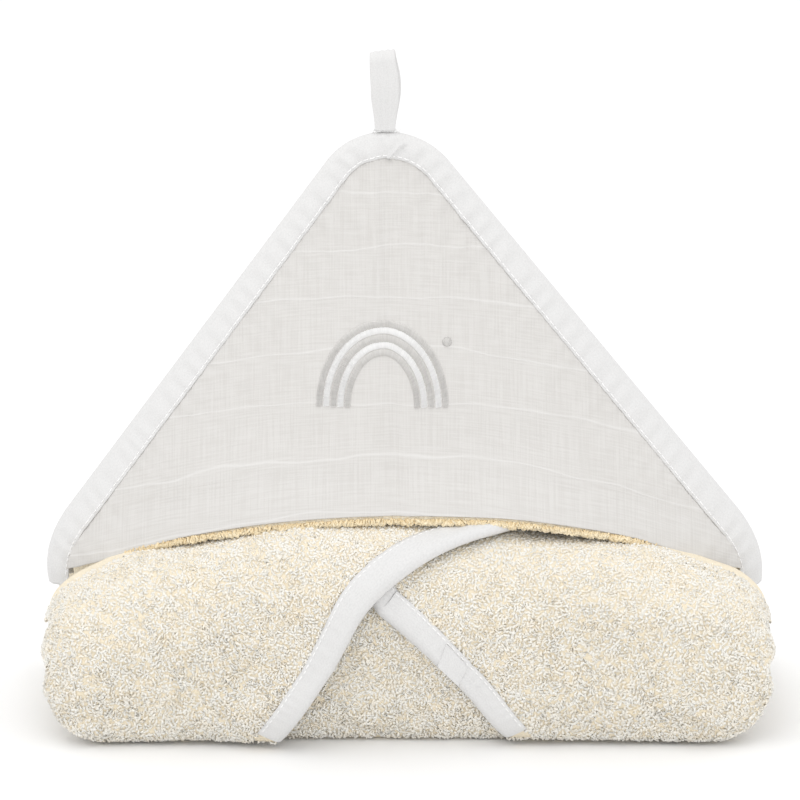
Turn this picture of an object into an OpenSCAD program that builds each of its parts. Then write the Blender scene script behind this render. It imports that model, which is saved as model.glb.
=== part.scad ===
// Hooded baby towel, rolled for the shelf with its hood standing over the roll.
// Millimetres. +Z up, -Y is the front. The origin is under the middle of the
// whole towel, on the surface that it stands on.

/* [Roll] */
// Width of the rolled towel, from side fold to side fold
roll_w = 346; // [300:1:400]
// Depth of the roll, front to back
roll_d = 116; // [100:1:140]
// Height of the roll at its middle
roll_h = 90; // [76:1:110]
// Height of the roll at its two ends
end_h = 58; // [50:1:72]
// Turns in the roll, of a ply that is two layers of terry
roll_turns = 2.6; // [1.6:0.1:3.8]
// Height of the slot left in the roll's core
core_slot = 10; // [6:1:16]

/* [Wraps] */
// Thickness of a side corner wrapped across the front
wrap_t = 4.5; // [3:0.5:6]
// Distance from the middle to the crease that each wrap opens on
crease_x = 112; // [95:1:130]
// Where the left wrap's edge meets the floor, from the middle
left_foot_x = -62; // [-80:1:-50]
// Where the right wrap's edge meets the floor, from the middle
right_foot_x = 48; // [40:1:65]

/* [Hood] */
// Height of the top of the hood's seam above the floor
hood_top = 276; // [250:1:310]
// Height of the mouth's edge at its middle, above the roll and its wraps
mouth_gap = 3; // [2:0.1:10]
// Fall of the mouth's edge from its middle to its corners
mouth_fall = 46; // [30:1:50]
// Radius of the rounded top corner
apex_r = 35; // [25:1:45]
// How far the front bulges forward at the mouth
front_bulge = 45; // [36:1:52]
// How far the back bulges backward at its foot
back_bulge = 36; // [28:1:42]
// How far the terry lining shows below the face at the mouth
lining_show = 3; // [1:0.5:6]
// Thickness of the muslin face
face_t = 1; // [0.6:0.1:1.6]
// Thickness of the terry lining
lining_t = 3.5; // [2:0.5:5]
// Thickness of the terry back
back_t = 4.5; // [3:0.5:6]

/* [Binding and loop] */
// Width of the bias binding on each face
binding_w = 12; // [8:0.5:14]
// Thickness of the binding tape
tape_t = 0.9; // [0.5:0.1:1.2]
// Width of the hanging loop's tape
loop_w = 13; // [8:0.5:18]
// Height of the hanging loop above the hood
loop_h = 37; // [25:1:60]
// Width of the loop's eye
loop_eye = 8; // [7:0.5:14]

/* [Embroidery] */
// Half the width of the rainbow
rainbow_r = 31; // [24:0.5:38]
// Height of the rainbow
rainbow_h = 39; // [30:0.5:46]
// Width of one embroidered band
band_w = 3.3; // [2.4:0.1:4]
// Height of the satin stitch above the muslin
stitch_t = 0.7; // [0.4:0.1:1]

/* [Hidden] */

terry = "#f1e9d6";
muslin = "#f1eeea";
tape = "#eeecea";
grey_thread = "#cfcac4";
white_thread = "#f6f5f3";

fit = 0.1;          // layers of one body that lie against each other
press = 0.25;       // how far the tape presses each face of the terry in
fold_room = 0.7;    // how far the terry's edge stops short of the tape's fold
clear = 0.45;       // layers of different bodies
half_w = roll_w / 2;
power = 3;          // squareness of the roll's section
sag = 3;            // how far the roll has settled onto its flat foot
end_round = 8;      // rounding of the roll's ends
end_zone = 16;      // length of that rounding
roll_start = 113;   // where the outermost ply starts, behind the top
per_turn = 30;      // points in one turn

// The plies share the height above the core.
core_h = (roll_h + sag) / 2;
pitch = (core_h - core_slot / 2) / (floor(roll_turns) + 1);
ply = pitch - 0.4;

// Heights of the layers over the roll: the tape's inner face, then the terry
thread_r = 0.3;
stitched_tape = 2 * fit + tape_t + 2 * thread_r;
right_lift = clear + tape_t + fit;
right_skin = right_lift + wrap_t + stitched_tape;
left_lift = right_skin + clear + tape_t + fit;
left_skin = left_lift + wrap_t + stitched_tape;
wrap_foot = 3;      // girth at which the wraps start, just off the floor
wrap_top = 120;     // girth at which they end, under the hood

mouth_z = roll_h + left_skin + mouth_gap;
corner_z = mouth_z - mouth_fall;
seam_half = 2;      // half the thickness of the hood's seam
corner_run = 32;    // height over which the seam turns down at its corners
seam_y = 12;        // depth of the seam, behind the middle of the roll
apex_x = -10;       // the hood leans a little to the left
corner_x = -1.5;

// The towel's middle from front to back, which the origin stands under
back_y = max(roll_d / 2, seam_y + seam_half + back_bulge);
mid_y = (back_y - roll_d / 2 - left_skin) / 2;

function ease(t) = let (c = min(1, max(0, t))) c * c * (3 - 2 * c);
function mix(a, b, t) = a + (b - a) * t;

// ---- Solids from grids of points ------------------------------------------

// A sheet with a thickness: two grids of points, rows by columns, and the rim.
module sheet(outer, inner) {
    rows = len(outer);
    cols = len(outer[0]);
    size = rows * cols;
    function at(i, j, layer) = layer * size + i * cols + j;
    function quad(a, b, c, d) = [[a, b, c], [a, c, d]];
    faces = [
        for (i = [0:rows - 2], j = [0:cols - 2])
            each quad(at(i, j, 0), at(i, j + 1, 0), at(i + 1, j + 1, 0), at(i + 1, j, 0)),
        for (i = [0:rows - 2], j = [0:cols - 2])
            each quad(at(i, j, 1), at(i + 1, j, 1), at(i + 1, j + 1, 1), at(i, j + 1, 1)),
        for (j = [0:cols - 2])
            each quad(at(0, j, 0), at(0, j, 1), at(0, j + 1, 1), at(0, j + 1, 0)),
        for (j = [0:cols - 2])
            each quad(at(rows - 1, j, 0), at(rows - 1, j + 1, 0),
                      at(rows - 1, j + 1, 1), at(rows - 1, j, 1)),
        for (i = [0:rows - 2])
            each quad(at(i, 0, 0), at(i + 1, 0, 0), at(i + 1, 0, 1), at(i, 0, 1)),
        for (i = [0:rows - 2])
            each quad(at(i, cols - 1, 0), at(i, cols - 1, 1),
                      at(i + 1, cols - 1, 1), at(i + 1, cols - 1, 0))
    ];
    points = [for (grid = [outer, inner], row = grid, p = row) p - [0, mid_y, 0]];
    polyhedron(points, faces);
}

// A bar through closed rings of points, with flat ends.
module bar(rings) {
    count = len(rings);
    ring = len(rings[0]);
    function at(i, j) = i * ring + j % ring;
    faces = [
        for (i = [0:count - 2], j = [0:ring - 1])
            each [[at(i, j), at(i, j + 1), at(i + 1, j + 1)],
                  [at(i, j), at(i + 1, j + 1), at(i + 1, j)]],
        [for (j = [ring - 1:-1:0]) at(0, j)],
        [for (j = [0:ring - 1]) at(count - 1, j)]
    ];
    polyhedron([for (r = rings, p = r) p - [0, mid_y, 0]], faces);
}

// ---- The roll --------------------------------------------------------------

function height_at(x) =
    mix(roll_h, end_h, pow(min(1, abs(x) / half_w), 3));
function end_in(x) =
    end_round * pow(max(0, (abs(x) - half_w + end_zone) / end_zone), 2);

// A point of the roll's section at x. Angle 0 is the front, 90 the top, 180 the
// back and 270 below. The depth is how far it lies inside the skin at the middle;
// the plies are pressed thinner towards the ends. A negative depth lies outside.
function squared(c) = sign(c) * pow(abs(c), 2 / power);
function roll_point(x, angle, depth) =
    let (b = (height_at(x) + sag) / 2,
         ry = roll_d / 2 - end_in(x),
         rz = b - end_in(x),
         up = squared(sin(angle)),
         in_y = depth > 0 ? depth * 2 * ry / roll_d : depth,
         in_z = depth > 0 ? depth * rz / core_h : up > 0 ? depth : 0,
         z = b - sag + (rz - in_z) * up)
    [x, -(ry - in_y) * squared(cos(angle)), depth < 0 ? z : max(z, in_z + end_in(x))];

// The ply keeps its depth for most of a turn, and steps in over the top.
function ply_depth(turn) = pitch * (floor(turn) + ease((turn - floor(turn) - 0.85) / 0.15));

module towel_roll() {
    steps = ceil(roll_turns * per_turn);
    turns = [for (i = [0:steps]) i * roll_turns / steps];
    function edge(x, turn, depth) =
        roll_point(x, roll_start + 360 * turn, ply_depth(turn) + depth);
    xs = [-half_w, -half_w + 5, -half_w + 10, -half_w + end_zone, -130, -90, -45, 0,
          45, 90, 130, half_w - end_zone, half_w - 10, half_w - 5, half_w];
    function skin(depth) = [for (x = xs) [for (t = turns) edge(x, t, depth)]];
    color(terry) sheet(skin(0), skin(ply));
}

// Girth: the way up the front of the roll at its middle, equal to the height
// where the roll is deepest, and the angle that goes with it.
angles = [for (a = [-62:1:123]) a];
arc = [for (i = 0, s = 0; i < len(angles); i = i + 1,
            s = s + (i < len(angles)
                ? norm(roll_point(0, angles[i], 0) - roll_point(0, angles[i - 1], 0)) : 0)) s];
arc_at_front = lookup(0, [for (i = [0:len(angles) - 1]) [angles[i], arc[i]]]);
girth = [for (i = [0:len(angles) - 1])
    [arc[i] - arc_at_front + (roll_h - sag) / 2, angles[i]]];
function over_roll(x, s, lift) = roll_point(x, lookup(s, girth), -lift);

// ---- Side folds and wraps ---------------------------------------------------

// The crease runs straight up the front and leans inwards over the top.
function crease(s) = crease_x - 42 * ease((s - 82) / 40);
// The left edge goes straight up the front, then turns over to the right.
function left_edge(s) =
    let (t = min(max(0, s - 58), 39), q = min(max(0, s - 97), 10))
    left_foot_x + 0.633 * s + 0.024 * t * t + 1.872 * (q - q * q / 20);
function right_edge(s) =
    let (t = min(max(0, s - 20), 45)) right_foot_x - 0.74 * s - 0.0065 * t * t;
// The left wrap lies on the roll at its crease and on the right wrap beyond.
function left_over(x) = mix(right_lift, left_lift, ease((x + 103) / 58));
function right_over(x) = right_lift;

wrap_rows = [for (i = [0:26]) mix(wrap_foot, wrap_top, i / 26)];
wrap_cols = 20;

module left_side_fold() {
    function grid(lift) = [
        for (s = wrap_rows) [for (j = [0:8])
            over_roll(-mix(half_w - 1, crease(s) + 0.5, j / 8), s, lift)]];
    color(terry) sheet(grid(right_lift + wrap_t), grid(clear));
}
module right_side_fold() mirror([1, 0, 0]) left_side_fold();

// The terry is pressed thinner where its edge is bound. A slant is the length of
// the edge for each millimetre of girth.
function slant(left, s) = norm([edge_at(left, s + 0.5) - edge_at(left, s - 0.5), 1]);
function pressed(left, x, s) =
    press * (1 - ease((abs(x - edge_at(left, s)) / slant(left, s) - 1.2 * binding_w) / 8));

module left_wrap() {
    function grid(lift, sign) = [
        for (s = wrap_rows) [for (j = [0:wrap_cols])
            let (x = mix(-crease(s) + 0.5, left_edge(s) - fold_room * slant(true, s), j / wrap_cols))
            over_roll(x, s, left_over(x) + lift - sign * pressed(true, x, s))]];
    color(terry) sheet(grid(wrap_t, 1), grid(0, -1));
}

module right_wrap() {
    function grid(lift, sign) = [
        for (s = wrap_rows) [for (j = [0:wrap_cols])
            let (x = mix(right_edge(s) + fold_room * slant(false, s), crease(s) - 0.5, j / wrap_cols))
            over_roll(x, s, right_over(x) + lift - sign * pressed(false, x, s))]];
    color(terry) sheet(grid(wrap_t, 1), grid(0, -1));
}

// A tape folded round an edge. At each girth s the ring goes along the outer
// face, round the rim and back along the inner face; r is the way in from the
// edge, square to it.
function edge_at(left, s) = left ? left_edge(s) : right_edge(s);
function in_from_edge(left, s, r) =
    let (slope = (edge_at(left, s + 0.5) - edge_at(left, s - 0.5)),
         n = sqrt(1 + slope * slope), sign = left ? -1 : 1)
    [edge_at(left, s) + sign * r / n, s - sign * slope * r / n];
function lift_at(left, x) = left ? left_over(x) : right_over(x);
function tape_point(left, s, r, lift) =
    let (q = in_from_edge(left, s, r),
         girth_s = min(wrap_top, max(wrap_foot, q[1])))
    over_roll(q[0], girth_s, lift_at(left, q[0]) + lift);

tape_in = [binding_w, binding_w * 0.66, binding_w * 0.33, 0.6];
tape_out = [0.6, binding_w * 0.33, binding_w * 0.66, binding_w];
tape_rows = [for (i = [0:22]) mix(wrap_foot + 3, wrap_top - 8, i / 22)];
module wrap_binding(left) {
    function skin(t) = [
        for (s = tape_rows) concat(
            [for (r = tape_in) tape_point(left, s, r, wrap_t + fit + t)],
            [tape_point(left, s, -fit - t, wrap_t / 2)],
            [for (r = tape_out) tape_point(left, s, r, -fit - t)])];
    color(tape)
        if (left) sheet(skin(tape_t), skin(0));
        else sheet(skin(0), skin(tape_t));
}

// A line of stitching: a thread with a six-sided section along a path.
module thread(path) {
    last = len(path) - 1;
    function along(i) =
        let (d = path[min(last, i + 1)] - path[max(0, i - 1)]) d / norm(d);
    function across(i) = let (c = cross(along(i), [0, 1, 0])) c / norm(c);
    color(white_thread) bar([
        for (i = [0:last]) let (u = across(i), v = cross(u, along(i)))
            [for (a = [0:60:300]) path[i] + thread_r * (cos(a) * u - sin(a) * v)]
    ]);
}

stitch_in = binding_w - 1.2;
module wrap_topstitch(left) {
    thread([for (s = tape_rows)
        tape_point(left, s, stitch_in, wrap_t + 2 * fit + tape_t + thread_r)]);
}

// The two ends of the towel's one strip of binding lap here, on the right wrap.
join_s = 36;
join_len = 7;
module binding_join() {
    lift = wrap_t + 2 * fit + tape_t;
    function grid(up) = [
        for (i = [0:3]) [for (j = [0:4])
            tape_point(false, join_s + join_len * i / 3, mix(0.8, stitch_in - 1, j / 4),
                       lift + up)]];
    color(tape) sheet(grid(0.6), grid(0));
}

// ---- The hood ---------------------------------------------------------------

// The seam widens by the same amount for each millimetre of fall, so that its
// corners end just inside the ends of the roll.
function slope_after(tries) =
    tries == 0 ? 0.8
    : let (lean = atan(slope_after(tries - 1)))
      (half_w - 2 - apex_r * cos(lean))
      / (hood_top - apex_r * (1 - sin(lean)) - corner_z - corner_run / 2);
side_slope = slope_after(4);
lean = atan(side_slope);
round_end_z = hood_top - apex_r * (1 - sin(lean));

// Half the width of the hood at a height: a round top, straight sides and a
// soft corner where the seam meets the mouth.
function half_at(z) =
    z > round_end_z
    ? sqrt(max(0.01, apex_r * apex_r - pow(z - hood_top + apex_r, 2)))
    : let (d = max(0, corner_z + corner_run - z))
      apex_r * cos(lean) + side_slope * (round_end_z - max(z, corner_z + corner_run))
      + side_slope * (d - d * d / (2 * corner_run));
function fall(z) = max(0, (hood_top - z) / (hood_top - mouth_z));
function full_fall(z) = max(0, (hood_top - z) / (hood_top - corner_z));
function middle_x(z) = mix(apex_x, corner_x, full_fall(z));
function across(x, z) =
    min(1, pow((x - middle_x(z)) / half_at(min(z, hood_top - 0.3)), 2));
// The front flares forward where it rests on the roll.
function front_y(x, z) =
    seam_y - seam_half
    - (front_bulge * pow(fall(z), 1.1) + 5 * ease((fall(z) - 0.8) / 0.2)) * (1 - across(x, z));
function rear_y(x, z) =
    seam_y + seam_half + back_bulge * pow(full_fall(z), 0.8) * (1 - across(x, z));
// Layers thin out towards the seam, where they are sewn flat.
function thin(u, z) = (0.35 + 0.65 * (1 - pow(abs(u), 4))) * min(1, 0.35 + 6 * fall(z));

// The mouth's edge arches up in the middle; the back's edge lies along the roll.
function roof(x, y) =
    roll_point(x, 90, 0).z - (height_at(x) + sag) / 2
    * (1 - pow(1 - pow(min(0.99, abs(y) / (roll_d / 2)), power), 1 / power));
function mouth_edge(u) = corner_z + mouth_fall * (1 - pow(abs(u), 2.5));
function back_edge(u) =
    let (x = corner_x + u * half_at(corner_z),
         y = rear_y(x, roll_h - 8) - back_t)
    max(corner_z, roof(x, y) + 1.2);

rows_at = [for (i = [0:14]) mix(0.035, 1, i / 14)];
cols_at = [for (j = [0:20]) let (t = j / 10 - 1) sin(90 * t) * 0.35 + t * 0.65];
hood_in = 0.985;    // the layers stop just inside the binding's fold

// A layer from its skin inwards; raise is how far its edge stops above the mouth.
module hood_layer(front, from, to, raise) {
    function skin(u, v, t) =
        let (z0 = mix(hood_top, corner_z, v),
             edge = (front ? mouth_edge(u) : back_edge(u)) + raise * (1 - pow(u, 8)),
             z = z0 + (edge - corner_z) * pow(v, 1.5),
             x = middle_x(z0) + u * hood_in * half_at(z0))
        [x, front ? front_y(x, z) + t * thin(u, z) : rear_y(x, z) - t * thin(u, z), z];
    function grid(t) = [
        for (i = [14:-1:0]) [for (j = [0:20])
            skin(cols_at[front ? j : 20 - j], rows_at[i], t)]];
    sheet(grid(from), grid(to));
}
module hood_face() color(muslin) hood_layer(true, 0, face_t, lining_show);
module hood_lining() color(terry) hood_layer(true, face_t + 3 * fit, face_t + fit + lining_t, 0);
module hood_back() color(terry) hood_layer(false, 0, back_t, 0);

// The seam's outline seen from the front, from the left corner to the right.
half_outline = concat(
    [for (i = [0:20]) let (z = mix(corner_z + 1, round_end_z - 2, i / 20)) [half_at(z), z]],
    [for (a = [mix(lean, 90, 0.06):(90 - lean) / 9:89]) [apex_r * cos(a), hood_top - apex_r + apex_r * sin(a)]]);
outline = concat(
    [for (p = half_outline) [middle_x(p[1]) - p[0], p[1]]],
    [[apex_x, hood_top]],
    [for (i = [len(half_outline) - 1:-1:0])
        let (p = half_outline[i]) [middle_x(p[1]) + p[0], p[1]]]);
function in_from_seam(i, r) =
    let (a = outline[max(0, i - 1)], b = outline[min(len(outline) - 1, i + 1)],
         d = (b - a) / norm(b - a))
    outline[i] + r * [d[1], -d[0]];
// side is -1 on the face, 1 on the back and 0 on the fold between them
function seam_point(i, r, side, lift) =
    let (q = in_from_seam(i, r))
    [q[0], side < 0 ? front_y(q[0], q[1]) - lift
         : side > 0 ? rear_y(q[0], q[1]) + lift : seam_y, q[1]];

module hood_binding() {
    function skin(t) = [
        for (i = [0:len(outline) - 1]) concat(
            [for (r = tape_in) seam_point(i, r, -1, fit + t)],
            [seam_point(i, -fit - t, 0, 0)],
            [for (r = tape_out) seam_point(i, r, 1, fit + t)])];
    color(tape) sheet(skin(tape_t), skin(0));
}
module hood_topstitch() {
    thread([for (i = [0:len(outline) - 1])
        seam_point(i, stitch_in, -1, 2 * fit + tape_t + thread_r)]);
}

// ---- Embroidery on the face -------------------------------------------------

rainbow_z = mouth_z + 46;   // height of the rainbow's feet
rainbow_x = -12;
function on_face(x, z, lift) = [x, front_y(x, z) - lift, z];
// A band goes up one leg, round and down the other; k counts bands from outside.
function band_edge(k, a) =
    let (r = rainbow_r - k * band_w, h = rainbow_h - k * band_w)
    [rainbow_x - r * cos(a), rainbow_z + h * sin(a)];
module band(k, thread_color) {
    gap = 0.15;
    function grid(lift) = [
        for (a = [0:6:180]) [for (t = [gap, band_w / 2, band_w - gap])
            let (p = band_edge(k + t / band_w, a)) on_face(p[0], p[1], lift)]];
    color(thread_color) sheet(grid(fit + stitch_t), grid(fit));
}

star_r = 2.6;
star_x = rainbow_x + rainbow_r - 1;
star_z = rainbow_z + rainbow_h * 0.74;
module embroidered_star() {
    function spoke(i) = (i % 2 == 0 ? 1 : 0.5) * star_r;
    // flat, and tilted as the face is at the star's middle
    tilt_x = front_y(star_x + 0.5, star_z) - front_y(star_x - 0.5, star_z);
    tilt_z = front_y(star_x, star_z + 0.5) - front_y(star_x, star_z - 0.5);
    flat_y = front_y(star_x, star_z) - mid_y - fit;
    color(grey_thread)
        multmatrix([[1, 0, 0, star_x], [tilt_x, tilt_z, -1, flat_y], [0, 1, 0, star_z]])
            linear_extrude(stitch_t)
                polygon([for (i = [0:11]) spoke(i) * [sin(30 * i), cos(30 * i)]]);
}

// ---- Hanging loop -----------------------------------------------------------

loop_pivot_z = hood_top + fit + tape_t + 3;
loop_foot_r = 1.4;
// The loop's outline from the side: pinched at its foot, round at its top.
function loop_outline(out) =
    let (r = loop_eye / 2 + out, top = loop_h - loop_eye / 2 - tape_t, n = 10)
    concat(
        [for (i = [0:n]) let (t = i / n) [mix(out > 0 ? loop_foot_r : 0.5, r, ease(t * 1.2)),
                                          mix(out > 0 ? 0 : 2.5, top, t)]],
        [for (a = [15:15:165]) [r * cos(a), top + r * sin(a)]],
        [for (i = [n:-1:0]) let (t = i / n) [-mix(out > 0 ? loop_foot_r : 0.5, r, ease(t * 1.2)),
                                             mix(out > 0 ? 0 : 2.5, top, t)]]);
module hanging_loop() {
    foot = [for (a = [195:15:345]) loop_foot_r * [cos(a), sin(a)]];
    color(tape)
        translate([apex_x - loop_w / 2, seam_y - mid_y, loop_pivot_z])
            rotate([90, 0, 90])
                linear_extrude(loop_w) difference() {
                    polygon(concat(loop_outline(1.2), foot));
                    polygon(loop_outline(0));
                }
}

// The row of stitches that holds the loop in the binding.
module loop_bartack() {
    count = 6;
    step = (loop_w - 1) / (count - 1);
    top = loop_pivot_z - loop_foot_r - 0.4;
    foot = hood_top + fit + tape_t + fit;
    color(white_thread)
        for (i = [0:count - 1])
            translate([apex_x - loop_w / 2 + 0.5 + i * step, seam_y - mid_y, foot])
                cylinder(r = 0.6, h = top - foot, $fn = 24);
}

towel_roll();
left_side_fold();
right_side_fold();
left_wrap();
wrap_binding(true);  // left_wrap_binding
wrap_topstitch(true);  // left_wrap_topstitch
right_wrap();
wrap_binding(false);  // right_wrap_binding
wrap_topstitch(false);  // right_wrap_topstitch
binding_join();
hood_face();
hood_lining();
hood_back();
hood_binding();
hood_topstitch();
band(0, grey_thread);  // rainbow_outer_band
band(1, white_thread);  // rainbow_outer_fill
band(2, grey_thread);  // rainbow_middle_band
band(3, white_thread);  // rainbow_inner_fill
band(4, grey_thread);  // rainbow_inner_band
embroidered_star();
loop_bartack();
hanging_loop();
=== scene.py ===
# %% [markdown]
# # A hooded baby towel
# The towel is one square of cotton terry with a hood over one corner. It is folded
# in at both sides, rolled up, and stood on its roll with the hood upright. Every
# piece here is cloth, so every surface is worked out as a grid of points: where a
# thread row and a thread column cross, the cloth is at one place in space.
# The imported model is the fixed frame. Lengths below are in millimetres, measured
# from the middle of the roll, and they become metres when a mesh is made.

# %% Load the frame
import math
import bpy
import numpy as np
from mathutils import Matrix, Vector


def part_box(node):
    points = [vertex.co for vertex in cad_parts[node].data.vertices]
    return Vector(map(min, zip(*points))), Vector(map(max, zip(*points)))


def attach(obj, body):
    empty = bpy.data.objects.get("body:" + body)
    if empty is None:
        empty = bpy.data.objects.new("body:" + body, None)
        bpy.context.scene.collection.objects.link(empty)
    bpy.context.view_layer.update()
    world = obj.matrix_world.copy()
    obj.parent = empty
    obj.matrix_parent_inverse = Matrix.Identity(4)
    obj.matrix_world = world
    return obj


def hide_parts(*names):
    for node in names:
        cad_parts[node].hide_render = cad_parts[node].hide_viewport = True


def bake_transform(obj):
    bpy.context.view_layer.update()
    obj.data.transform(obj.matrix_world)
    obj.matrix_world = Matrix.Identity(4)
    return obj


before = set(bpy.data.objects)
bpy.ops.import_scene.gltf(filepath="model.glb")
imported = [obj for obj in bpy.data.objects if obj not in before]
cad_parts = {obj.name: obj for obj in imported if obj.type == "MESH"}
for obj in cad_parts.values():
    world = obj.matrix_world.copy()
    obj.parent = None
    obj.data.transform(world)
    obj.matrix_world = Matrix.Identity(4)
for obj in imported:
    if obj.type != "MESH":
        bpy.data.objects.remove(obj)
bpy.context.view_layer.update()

# %% [markdown]
# ## Camera, light and floor
# A folded towel is shown from a little above, with a long lens, so its straight
# sides stay straight. White cloth on a white floor needs light from all round and a
# broad soft light from above, which leaves the undersides and folds warmer.

# %% Camera
ROLL_LOW, ROLL_HIGH = (np.array(c) * 1000 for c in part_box("towel_roll"))
MID_Y = (ROLL_LOW[1] + ROLL_HIGH[1]) / 2
CAMERA_RISE = math.radians(17)
CAMERA_FAR = 1.55
SENSOR, VIEW_WIDTH = 36, 0.376    # mm across the sensor, and metres that the picture spans
aim = np.array([-0.0038, MID_Y / 1000, 0.151])

camera = bpy.data.objects.new("camera", bpy.data.cameras.new("camera"))
bpy.context.scene.collection.objects.link(camera)
camera.location = aim + CAMERA_FAR * np.array([0, -math.cos(CAMERA_RISE), math.sin(CAMERA_RISE)])
camera.rotation_euler = (math.pi / 2 - CAMERA_RISE, 0, 0)
camera.data.lens = SENSOR * CAMERA_FAR / VIEW_WIDTH
camera.data.clip_start = 0.05
bpy.context.scene.camera = camera
print("the camera is", CAMERA_FAR, "m away with a", round(camera.data.lens), "mm lens")

# %% Light
bpy.context.scene.view_settings.view_transform = "Standard"
world = bpy.data.worlds.new("studio")
bpy.context.scene.world = world
world.use_nodes = True
world.node_tree.nodes["Background"].inputs["Color"].default_value = (1, 1, 1, 1)
world.node_tree.nodes["Background"].inputs["Strength"].default_value = 1.08


def soft_light(name, place, target, size, power):
    """A square area light at place that faces target."""
    lamp = bpy.data.objects.new(name, bpy.data.lights.new(name, "AREA"))
    lamp.data.size = size
    lamp.data.energy = power
    bpy.context.scene.collection.objects.link(lamp)
    lamp.location = place
    away = np.array(place, float) - np.array(target, float)
    away = away / np.linalg.norm(away)
    lamp.rotation_euler = (math.acos(away[2]), 0, math.atan2(away[1], away[0]) + math.pi / 2)


soft_light("overhead", (-0.25, -0.45, 1.5), (0, 0, 0.1), 1.1, 4.5)
soft_light("front", (0.7, -1.9, 0.9), (0, 0, 0.1), 1.1, 2.0)

# %% [markdown]
# ## Making a mesh from a grid
# A sheet of cloth has an outer and an inner face. Both are grids with the same rows
# and columns, and four rims close them into one solid sheet. The mesh is filled with
# `foreach_set`, which takes a whole array at once.

# %% Grids and shells
def ease(t):
    """Rises smoothly from 0 to 1: three times t squared less twice t cubed."""
    t = np.clip(t, 0, 1)
    return t * t * (3 - 2 * t)


def mix(a, b, t):
    return a + (b - a) * t


def unit(v):
    return v / np.maximum(np.linalg.norm(v, axis=-1, keepdims=True), 1e-9)


def spread(*values):
    """Makes arrays of numbers of one shape out of numbers and arrays."""
    return np.broadcast_arrays(*(np.asarray(v, float) for v in values))


def grid_quads(rows, cols, start=0):
    """The four corners of each cell of a grid whose points are numbered row by row."""
    i, j = np.meshgrid(np.arange(rows - 1), np.arange(cols - 1), indexing="ij")
    a = start + i * cols + j
    return np.stack([a, a + 1, a + cols + 1, a + cols], -1).reshape(-1, 4)


def shell(outer, inner):
    """Joins two grids of points into one closed sheet. Returns points and quads."""
    rows, cols = outer.shape[:2]
    size = rows * cols
    number = np.arange(size).reshape(rows, cols)
    around = np.concatenate([number[0, :], number[1:, -1], number[-1, -2::-1], number[-2::-1, 0]])
    rim = np.stack([around[:-1], around[:-1] + size, around[1:] + size, around[1:]], -1)
    quads = np.concatenate([grid_quads(rows, cols), grid_quads(rows, cols, size)[:, ::-1], rim])
    return np.concatenate([outer.reshape(-1, 3), inner.reshape(-1, 3)]), quads


def tube(rings):
    """Joins closed rings of points, and fans each end ring to its own middle."""
    count, ring = rings.shape[:2]
    i, j = np.meshgrid(np.arange(count - 1), np.arange(ring), indexing="ij")
    a, b = i * ring + j, i * ring + (j + 1) % ring
    sides = np.stack([a, b, b + ring, a + ring], -1).reshape(-1, 4)
    points = np.concatenate([rings.reshape(-1, 3), rings[:1].mean(1), rings[-1:].mean(1)])
    k = np.arange(ring)
    first, last = count * ring, count * ring + 1
    low = np.stack([(k + 1) % ring, k, np.full(ring, first), np.full(ring, first)], -1)
    top = (count - 1) * ring
    high = np.stack([top + k, top + (k + 1) % ring, np.full(ring, last), np.full(ring, last)], -1)
    return points, np.concatenate([sides, low, high])


def outward(points, quads):
    """Turns the faces over if the solid's signed volume is negative."""
    a, b, c, d = (points[quads[:, k]] for k in range(4))
    volume = (a * np.cross(b, c)).sum() + (a * np.cross(c, d)).sum()
    return quads if volume > 0 else quads[:, ::-1]


def fill_mesh(name, points, index, starts, tint=None):
    """A new mesh from points, the corners of all faces in turn, and where each face starts."""
    mesh = bpy.data.meshes.new(name)
    mesh.vertices.add(len(points))
    mesh.vertices.foreach_set("co", points.astype(np.float32).ravel())
    mesh.loops.add(len(index))
    mesh.loops.foreach_set("vertex_index", index.astype(np.int32))
    mesh.polygons.add(len(starts))
    mesh.polygons.foreach_set("loop_start", starts.astype(np.int32))
    if tint is not None:
        shade = mesh.attributes.new("tint", "FLOAT", "POINT")
        shade.data.foreach_set("value", np.array(np.broadcast_to(tint, len(points)), np.float32))
    return mesh


def link_piece(name, mesh, material):
    mesh.shade_smooth()
    mesh.materials.append(material)
    piece = bpy.data.objects.new(name, mesh)
    bpy.context.scene.collection.objects.link(piece)
    return piece


def make_piece(name, solids, material, body=None, nodes=(), uv=None, tint=None):
    """Makes one mesh of one or more solids, each a pair of points in mm and quads."""
    points, quads, start = [], [], 0
    for p, q in solids:
        points.append(p)
        quads.append(outward(p, q) + start)
        start += len(p)
    points, quads = np.concatenate(points), np.concatenate(quads)
    points = (points + [0, MID_Y, 0]) * 0.001
    corners = np.where((quads[:, 3] == quads[:, 2]), 3, 4)
    index = quads[np.arange(4)[None, :] < corners[:, None]]
    starts = np.concatenate([[0], np.cumsum(corners)[:-1]])
    mesh = fill_mesh(name, points, index, starts, tint)
    if uv is not None:
        layer = mesh.uv_layers.new(name="cloth")
        layer.data.foreach_set("uv", uv[index].astype(np.float32).ravel())
    mesh.update(calc_edges=True)
    mesh.validate()
    piece = link_piece(name, mesh, material)
    if body:
        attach(piece, body)
    if nodes:
        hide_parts(*nodes)
    print(name, len(points), "points,", int((corners - 2).sum()), "triangles")
    return piece


# %% [markdown]
# ## Soft unevenness
# No fold of cloth is flat. Twelve sine waves of about one wavelength, each running
# its own way, add up to a gentle rise and fall that never repeats. The same call
# with the same seed gives the same answer, so layers that lie on each other move
# together and never cross.

# %% Undulation
def undulation(p, wavelength, seed):
    """Sum of twelve sine waves in random directions, scaled to about -1 to 1."""
    rng = np.random.default_rng(seed)
    way = unit(rng.normal(size=(12, 3))) * 2 * np.pi / wavelength * rng.uniform(0.7, 1.4, (12, 1))
    return np.sin(np.asarray(p) @ way.T + rng.uniform(0, 2 * np.pi, 12)).sum(-1) / 5


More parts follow.
